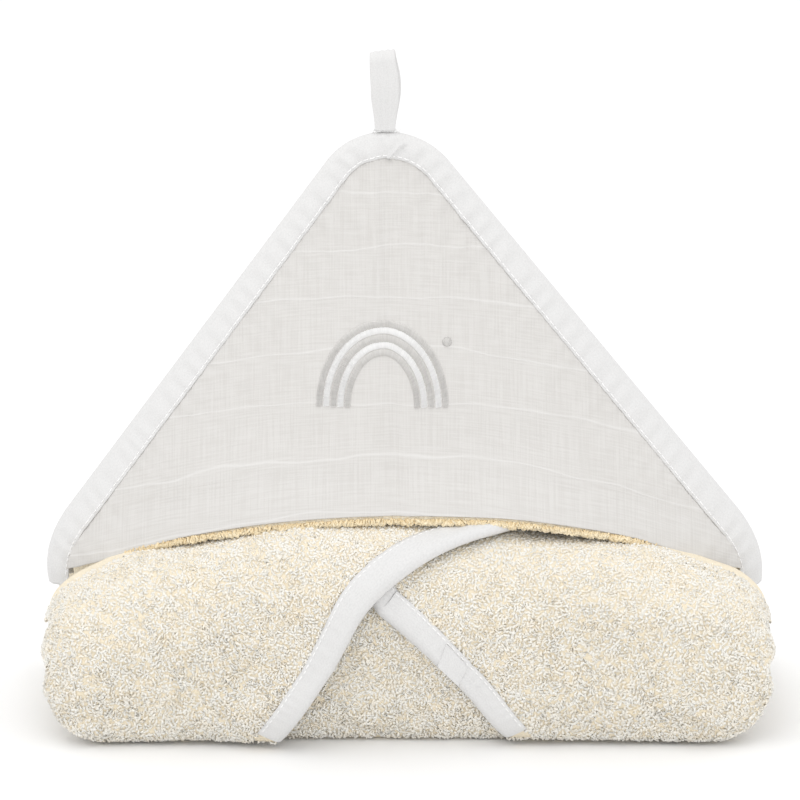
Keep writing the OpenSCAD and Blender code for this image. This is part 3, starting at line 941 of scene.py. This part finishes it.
def hood_point(front, u, v, depth, raise_by=0.0):
    """A point of a layer: u across from seam to seam, v from the top to the open edge."""
    u, v, depth = spread(u, v, depth)
    z0 = mix(HOOD_TOP, CORNER_Z, v)
    edge = mouth_edge(u) if front else back_edge(u)
    edge = edge + raise_by * (1 - np.clip(np.abs(u) / 0.8, 0, 1) ** 4)
    z = z0 + (edge - CORNER_Z) * v ** 1.5
    x = middle_x(z0) + u * 0.985 * half_at(z0)
    y = front_y(x, z) + depth * thin(u, z) if front else rear_y(x, z) - depth * thin(u, z)
    if front:
        y = y - flare(z - mouth_edge(u)) * (1 - u ** 6)
    return np.stack([x, y, z], -1)


def hood_sheet(front, start, thick, raise_by, rows=110, cols=170):
    """A layer whose open edge is round: its thickness closes in over the last few rows."""
    v = 1 - np.linspace(1, 0, rows) ** 1.3 * 0.965
    t = np.linspace(-1, 1, cols)
    v, u = np.meshgrid(v, 0.35 * np.sin(np.pi / 2 * t) + 0.65 * t, indexing="ij")
    close = rounded((1 - v) * 200, thick * 0.7, 0.02)
    middle = start + thick / 2
    return (hood_point(front, u, v, middle - thick / 2 * close, raise_by),
            hood_point(front, u, v, middle + thick / 2 * close, raise_by))


# %% [markdown]
# ## The hood's face
# Along the mouth the muslin flares forward in a soft band, and its weft rows bow down
# towards the seams.

# %% The face
WEFT_BOW = 0.0016
face_out, face_in = hood_sheet(True, 0, FACE_T, 3.0, 150, 240)
face_x, face_z = face_out[..., 0], face_out[..., 2]
uv = np.stack([face_x, face_z + WEFT_BOW * (face_x - APEX_X) ** 2], -1)
uv = np.tile(uv.reshape(-1, 2) * 0.001, (2, 1))
face = make_piece("hood_face_muslin", [shell(face_out, face_in)], muslin, "hood",
                  ["hood_face"], uv)

# %% The lining and the back
lining_solid = shell(*hood_sheet(True, FACE_T + 0.3, LINING_T - 0.2, 0))
lining = make_piece("hood_lining_terry", [lining_solid], terry_ground, "hood", ["hood_lining"])
back_solid = shell(*hood_sheet(False, 0, BACK_T, 0))
back = make_piece("hood_back_terry", [back_solid], terry_ground, "hood", ["hood_back"])

# %% [markdown]
# ## The binding on the hood
# The tape goes up one side, round the top corner and down the other. Round the
# corner there is too much tape for the inner edge, so it is pleated there once,
# just right of the top.

# %% The seam's outline
side_z = np.linspace(CORNER_Z - 6, ROUND_END_Z - 1, 260)
round_a = np.linspace(lean + 0.02, math.pi / 2 - 0.01, 60)
round_top = np.stack([APEX_R * np.cos(round_a), HOOD_TOP - APEX_R + APEX_R * np.sin(round_a)], -1)
half_line = np.concatenate([np.stack([half_at(side_z), side_z], -1), round_top])
shift = middle_x(half_line[:, 1])
left_line = np.stack([shift - half_line[:, 0], half_line[:, 1]], -1)
right_line = np.stack([shift + half_line[:, 0], half_line[:, 1]], -1)[::-1]
seam = np.concatenate([left_line, [[APEX_X, HOOD_TOP]], right_line])
seam_run = unit(np.gradient(seam, axis=0))
seam_inward = np.stack([seam_run[:, 1], -seam_run[:, 0]], -1)
seam_length = np.concatenate([[0], np.cumsum(np.linalg.norm(np.diff(seam, axis=0), axis=1))])
seam_middle = seam_length[len(left_line)]
print("the hood's seam is", round(seam_length[-1]), "mm long")


def seam_point(i, r, side, lift):
    """side is -1 on the face, 1 on the back and between them round the fold."""
    flat = seam[i] + seam_inward[i] * r[..., None]
    front = front_y(flat[..., 0], flat[..., 1]) - lift
    rear = rear_y(flat[..., 0], flat[..., 1]) + lift
    return np.stack([flat[..., 0], mix(front, rear, (side + 1) / 2), flat[..., 1]], -1)


HOOD_TAPE = 10.6      # width of the hood's binding
BACK_UV = 30          # moves the back leg's weave away from the front leg's


def make_hood_tape():
    r, up = folded_profile(1.0, HOOD_TAPE, 14)
    i, r_grid = np.meshgrid(np.arange(len(seam)), r, indexing="ij")
    fold = np.broadcast_to(up, i.shape)
    length = seam_length[i]
    gather = tape_pucker(length, r_grid + BINDING_W - HOOD_TAPE, 51)
    near_pleat = length - seam_middle - 11 + 0.9 * r_grid
    ridge, dip = np.exp(-(near_pleat / 1.3) ** 2), np.exp(-((near_pleat - 3) / 1.0) ** 2)
    pleat = (1.5 * ridge - 0.5 * dip) * ease(r_grid / 4)
    puff = 0.7 * np.sin(np.pi * np.clip(r_grid / (HOOD_TAPE - 1.4), 0, 1)) ** 0.8
    raised = puff + np.maximum(0.6 * gather + pleat, -0.25)
    thickness = TAPE_T * np.clip((HOOD_TAPE - r_grid) / 0.8 + 0.3, 0.3, 1)
    def skin(t):
        lift = 0.15 + raised * np.abs(fold) + t * np.abs(fold)
        return seam_point(i, r_grid - (1 - np.abs(fold)) * t, -fold, lift)
    uv = (np.stack([length, r_grid + BACK_UV * (fold < 0)], -1) * 0.001).reshape(-1, 2)
    piece = make_piece("hood_tape", [shell(skin(thickness), skin(0 * thickness))], binding_tape,
                       "hood", ["hood_binding"], np.tile(uv, (2, 1)))
    i = np.arange(2, len(seam) - 2)
    at = np.full(len(i), HOOD_TAPE - 1.4)
    path = seam_point(i, at, -1, 0.15 + TAPE_T * 0.95)
    solids = stitch_line(path, np.tile([0.0, -1.0, 0.0], (len(path), 1)))
    make_piece("hood_stitches", solids, white_thread, "hood", ["hood_topstitch"], tint=0.5)


make_hood_tape()

# %% [markdown]
# ## Embroidery
# Satin stitch is a row of threads side by side, each going across the band. Every
# thread is a low arch that starts and ends inside the muslin.

# %% The rainbow and the star
RAINBOW_X, RAINBOW_Z = -12, MOUTH_Z + 46
RAINBOW_R, RAINBOW_H, BAND_W = 31, 39, 3.3


def satin(starts, ends, lift, seed):
    """Five-ring arches from starts to ends on the face, with a three-sided section."""
    rng = np.random.default_rng(seed)
    k = np.linspace(0, np.pi, 5)[None, :, None]
    line = mix(starts[:, None], ends[:, None], (1 - np.cos(k)) / 2)
    x, z, k = line[..., 0], line[..., 1], k[..., 0]
    y = front_y(x, z) - 0.1 - lift * np.sin(k) ** 0.6 + 0.25 * (np.cos(k) ** 4)
    out = np.stack([x, y, z], -1)
    run = unit(np.gradient(out, axis=1))
    up = np.broadcast_to([0.0, -1.0, 0.0], out.shape)
    side = unit(np.cross(run, up))
    turn = np.arange(3) * 2 * np.pi / 3
    wide = rng.uniform(0.26, 0.34, len(starts))[:, None, None, None]
    around = np.cos(turn)[:, None] * up[:, :, None] + np.sin(turn)[:, None] * side[:, :, None]
    rings = out[:, :, None] + wide * around
    shade = np.repeat(rng.uniform(0.2, 0.9, len(starts)), 5 * 3 + 2)
    return [tube(rings[n]) for n in range(len(starts))], shade


def band_line(k, a):
    """The line k bands in from the rainbow's rim: half an ellipse."""
    wide, tall = RAINBOW_R - k * BAND_W, RAINBOW_H - k * BAND_W
    return np.stack([RAINBOW_X - wide * np.cos(a), RAINBOW_Z + tall * np.sin(a)], -1)


band_names = ["rainbow_outer_band", "rainbow_outer_fill", "rainbow_middle_band",
              "rainbow_inner_fill", "rainbow_inner_band"]
for k, band_name in enumerate(band_names):
    count = int((RAINBOW_R + RAINBOW_H - 2 * k * BAND_W) * 1.62 / 0.42)
    jitter = np.random.default_rng(60 + k)
    a = np.linspace(0.004, math.pi - 0.004, count)
    starts = band_line(k + 0.05 + jitter.uniform(-0.04, 0.04, count), a)
    ends = band_line(k + 0.95, a + 0.012)
    solids, shade = satin(starts, ends, 0.45 if k % 2 == 0 else 0.3, 70 + k)
    grey = k % 2 == 0
    make_piece(band_name + "_satin", solids, grey_thread if grey else white_thread, "hood",
               [band_name], tint=shade)

star_at = np.array([RAINBOW_X + RAINBOW_R - 1, RAINBOW_Z + RAINBOW_H * 0.74])
a = np.linspace(0, math.pi, 13)[:-1]
arm = 2.4 * np.stack([np.cos(a), np.sin(a)], -1)
solids, shade = satin(star_at - arm, star_at + arm, 0.5, 80)
make_piece("star_satin", solids, grey_thread, "hood", ["embroidered_star"],
           tint=shade)

# %% [markdown]
# ## The hanging loop
# A length of tape is doubled and caught under the binding at the top corner. It
# stands up by its own stiffness, its top is round, and its back leg has slipped to
# the right, so both legs show. Four lengthwise creases run up it.

# %% The loop and its bartack
LOOP_W, LOOP_H = 13, 36.5
LOOP_X = -10.7
LOOP_FOOT = HOOD_TOP + 2.9


def make_loop():
    """A doubled tape: up one leg, round the arch and down the other."""
    top = LOOP_H - 5
    t = np.linspace(0, 1, 40)
    leg = np.stack([mix(1.3, 3.9, ease(t * 1.3)), mix(-1.2, top, t)], -1)
    bow = np.linspace(0, np.pi, 26)[1:-1]
    arch = np.stack([3.9 * np.cos(bow), top + 3.9 * np.sin(bow)], -1)
    path = np.concatenate([leg * [-1, 1], arch[::-1], leg[::-1]])
    rise = path[:, 1] / LOOP_H
    w = np.linspace(-0.5, 0.5, 27)
    p = np.arange(len(path))
    p, w = np.meshgrid(p, w, indexing="ij")
    way = unit(np.gradient(path, axis=0))
    normal = np.stack([-way[:, 1], way[:, 0]], -1)
    up = np.clip(rise[p], 0, 1)
    back_leg = ease((p / (len(path) - 1) - 0.42) / 0.16)
    wide = mix(0.74, 1, ease(up * 2)) * (1 - 0.12 * ease((up - 0.6) / 0.4))
    lean_left = 1.3 * ease((up - 0.5) / 0.5)
    x = LOOP_X - lean_left + w * LOOP_W * wide + back_leg * 0.9 * np.sin(np.pi * up)
    slant = 1.6 * w * up ** 2
    crease = 0.22 * np.cos(w * 4 * 2 * np.pi + 0.6) * (1 - 0.5 * np.abs(w)) + 0.35 * (0.25 - w * w)
    def skin(lift):
        q = path[p] + normal[p] * (lift + crease)[..., None]
        return np.stack([x, SEAM_Y + q[..., 0], LOOP_FOOT + q[..., 1] + slant], -1)
    rim = 0.62 * np.sqrt(np.clip(1 - (np.abs(w) * 2) ** 10, 0.05, 1))
    uv = np.tile(np.stack([p * 0.8, w * LOOP_W], -1).reshape(-1, 2) * 0.001, (2, 1))
    loop = make_piece("loop_tape", [shell(skin(rim), skin(-rim))], binding_tape, "hanging_loop",
                      ["hanging_loop"], uv)


make_loop()

BARTACK_THREADS, BARTACK_R, BARTACK_H = 11, 0.42, 1.5
number = np.arange(BARTACK_THREADS)[:, None, None]
z = np.linspace(0, BARTACK_H, 5)[None, :, None]
angle = (np.arange(6) * np.pi / 3)[None, None]
slant = np.where(number % 2 == 0, 0.35, -0.35)
x = APEX_X - LOOP_W / 2 + 0.4 + number * 1.2 + slant * (z - BARTACK_H / 2) + BARTACK_R * np.cos(angle)
rings = np.stack(spread(x, SEAM_Y + BARTACK_R * np.sin(angle), HOOD_TOP + 0.6 + z), -1)
make_piece("loop_bartack_threads", [tube(r) for r in rings], white_thread, "hood",
           ["loop_bartack"], tint=0.5)

# %% [markdown]
# ## Laying the pile
# The front gets a loop every 1.4 millimetres. The back, the roll's ends and what the
# hood or the left wrap covers get loops further apart.

# %% Where the pile grows
FINE, COARSE = 1.42, 2.2


TAPE_COVER = BINDING_W - 1.5    # the part of an edge where the tape leaves no room for loops
OFF_FLOOR = 2.6
CORE = [0, 0, 40]               # a place inside the roll


def facing(places, normals, weight=1):
    """1 if the normals point away from the inside of the roll, -1 if they point to it."""
    return np.sign(((places - CORE) * normals * weight).sum(-1).mean())


def corner_skin(left):
    return lambda t, s: corner_point(left, mix(*corner_span(left, s), t), s, 1)


def hood_hides(p):
    """Whether a point is behind the hood's face and above its mouth."""
    u = np.clip((p[:, 0] - CORNER_X) / half_at(CORNER_Z), -1, 1)
    return (p[:, 2] > mouth_edge(u) + 6) & (p[:, 1] > front_y(p[:, 0], p[:, 2]) + 1)


def corner_pile(left):
    """Fine loops where the corner shows, and coarse ones where the hood hides it."""
    def shown(t, s, p):
        x = p[:, 0]
        clear_of_tape = np.abs(x - edge_of(left, s)) > TAPE_COVER * 1.25
        uncovered = (x > left_edge(s) - 2) | left
        return (clear_of_tape | (s < 3.0)) & (p[:, 2] > 2.4) & uncovered & ~hood_hides(p)
    def hidden(t, s, p):
        x = p[:, 0]
        clear_of_tape = np.abs(x - edge_of(left, s)) > TAPE_COVER * 1.3
        uncovered = (x > left_edge(s) + 2) | left
        return clear_of_tape & hood_hides(p) & uncovered & (s < WRAP_TOP - 3)
    near, near_normals = scatter(corner_skin(left), (0.0, 1.0), (WRAP_FOOT, 112), FINE, 90 + left, shown)
    far, far_normals = scatter(corner_skin(left), (0.0, 1.0), (80, WRAP_TOP), COARSE, 92 + left, hidden)
    sign = facing(near, near_normals)
    return make_pile(("left" if left else "right") + "_corner_pile", np.concatenate([near, far]),
                     sign * np.concatenate([near_normals, far_normals]), None, TERRY_LOOP, 95 + left)


for left in (True, False):
    pile = corner_pile(left)
    bend_corner(corners[left])
    bend_corner(pile)


def on_roll(name, t_range, w_range, step, keep, seed, height=TERRY_LOOP):
    """Loops on the roll's outline: its skin if w stays within 1, and else one of its ends."""
    places, normals = scatter(ply_point, t_range, w_range, step, seed, keep)
    if w_range[0] >= 1:
        sign = np.sign((places * normals)[:, 0].mean())
    else:
        sign = facing(places, normals, [0.02, 1, 1])
    make_pile(name, places, sign * normals, "bundle", height, seed)


FRONT_TURN = (360 - ROLL_START - 62) / 360, (360 - ROLL_START + 84) / 360
SKIN_SEEN = 88                  # the girth up to which the middle of the roll has loops


def girth_at(turn):
    return np.interp((ROLL_START + 360 * turn + 180) % 360 - 180, skin_angles, girths)


def centre_panel(t, w, p):
    s, x = girth_at(t), p[:, 0]
    return (p[:, 2] > 1.6) & (x > left_edge(s) - 3) & (x < right_edge(s) + 4) & (s < SKIN_SEEN)


# what the left wrap covers at rest is seen when it opens
def covered_roll(t, w, p):
    s, x = girth_at(t), p[:, 0]
    under_left = (x > -85) & (x <= left_edge(s) - 3)
    return (p[:, 2] > 1.6) & under_left & (x < right_edge(s) + 4) & (s < SKIN_SEEN)


def covered_wrap(t, s, p):
    x = p[:, 0]
    return (x > right_edge(s) + TAPE_COVER * 1.3) & (x <= left_edge(s) - 2)


def behind(t, w, p):
    return (p[:, 2] > OFF_FLOOR) & ((p[:, 1] > rear_y(p[:, 0], 84) - 4) | (np.abs(p[:, 0]) > 150))


def off_floor(t, w, p):
    return p[:, 2] > OFF_FLOOR


on_roll("centre_pile", FRONT_TURN, (-0.46, 0.38), FINE, centre_panel, 101)
on_roll("covered_roll_pile", FRONT_TURN, (-0.52, 0.1), COARSE, covered_roll, 106)
places, normals = scatter(corner_skin(False), (0.0, 1.0), (40, WRAP_TOP - 3), COARSE, 97, covered_wrap)
make_pile("covered_wrap_pile", places, facing(places, normals) * normals, "right_wrap", TERRY_LOOP, 98)
on_roll("back_pile_left", (0.0, 0.44), (-1, 0), COARSE, behind, 102)
on_roll("back_pile_right", (0.0, 0.44), (0, 1), COARSE, behind, 103)
END_LOOP = 1.9
on_roll("right_end_pile", (0.0, TURNS), (1.03, 1.97), COARSE, off_floor, 104, END_LOOP)
on_roll("left_end_pile", (0.0, TURNS), (3.03, 3.97), COARSE, off_floor, 105, END_LOOP)


LINING_LOOP = 2.0
MOUTH_V = 0.86                  # where the lining's finer rows near the mouth begin


def hood_pile(name, front, depth, step, v_range, seed, height):
    """Loops on a layer of the hood. They all point to the back."""
    places, normals = scatter(lambda u, v: hood_point(front, u, v, depth),
                              (-0.985, 0.985), v_range, step, seed)
    normals = np.sign(normals[:, 1].mean()) * normals
    make_pile(name, places, normals, "hood", height, seed, shaded_lining_loop if front else terry_loop)


hood_pile("hood_back_pile", False, 0.1, COARSE, (0.07, 0.995), 110, TERRY_LOOP)
hood_pile("hood_lining_pile", True, FACE_T + LINING_T, 2.5, (0.08, MOUTH_V), 111, LINING_LOOP)
hood_pile("hood_mouth_pile", True, FACE_T + LINING_T, 1.8, (MOUTH_V, 0.995), 112, LINING_LOOP)

# %% [markdown]
# ## The hem at the mouth
# Below the muslin's turned edge the lining shows as a thin strip of loops, coloured with painted warm
# shade.

# %% Loops along the mouth's edge
HEM_LOOPS = 3000
u = np.random.default_rng(120).uniform(-0.78, 0.70, HEM_LOOPS)
down = np.random.default_rng(121).uniform(0, 1, HEM_LOOPS)
places = hood_point(True, u, 1.0, FACE_T + 0.4 + down * (LINING_T - 0.4))
places[:, 2] += np.random.default_rng(122).uniform(0, 1.2, HEM_LOOPS)
tilted = unit(np.stack([0 * u, -0.75 * (1 - down), -1.0 + 0 * u], -1))
# painted shade: these loops take the lining's shaded golden colour
make_pile("mouth_edge_pile", places, tilted, "hood", 1.5, 123, shaded_lining_loop)

# %% [markdown]
# ## Floor
# The floor only catches the soft shadow. It isn't part of the towel.

# %% Floor
floor_mat, tree, shader = new_material("floor", (0.93, 0.93, 0.93), 0.8)
bpy.ops.mesh.primitive_plane_add(size=6, location=(0, 0, 0))
floor = bpy.context.object
floor.name = "floor"
floor.data.materials.append(floor_mat)
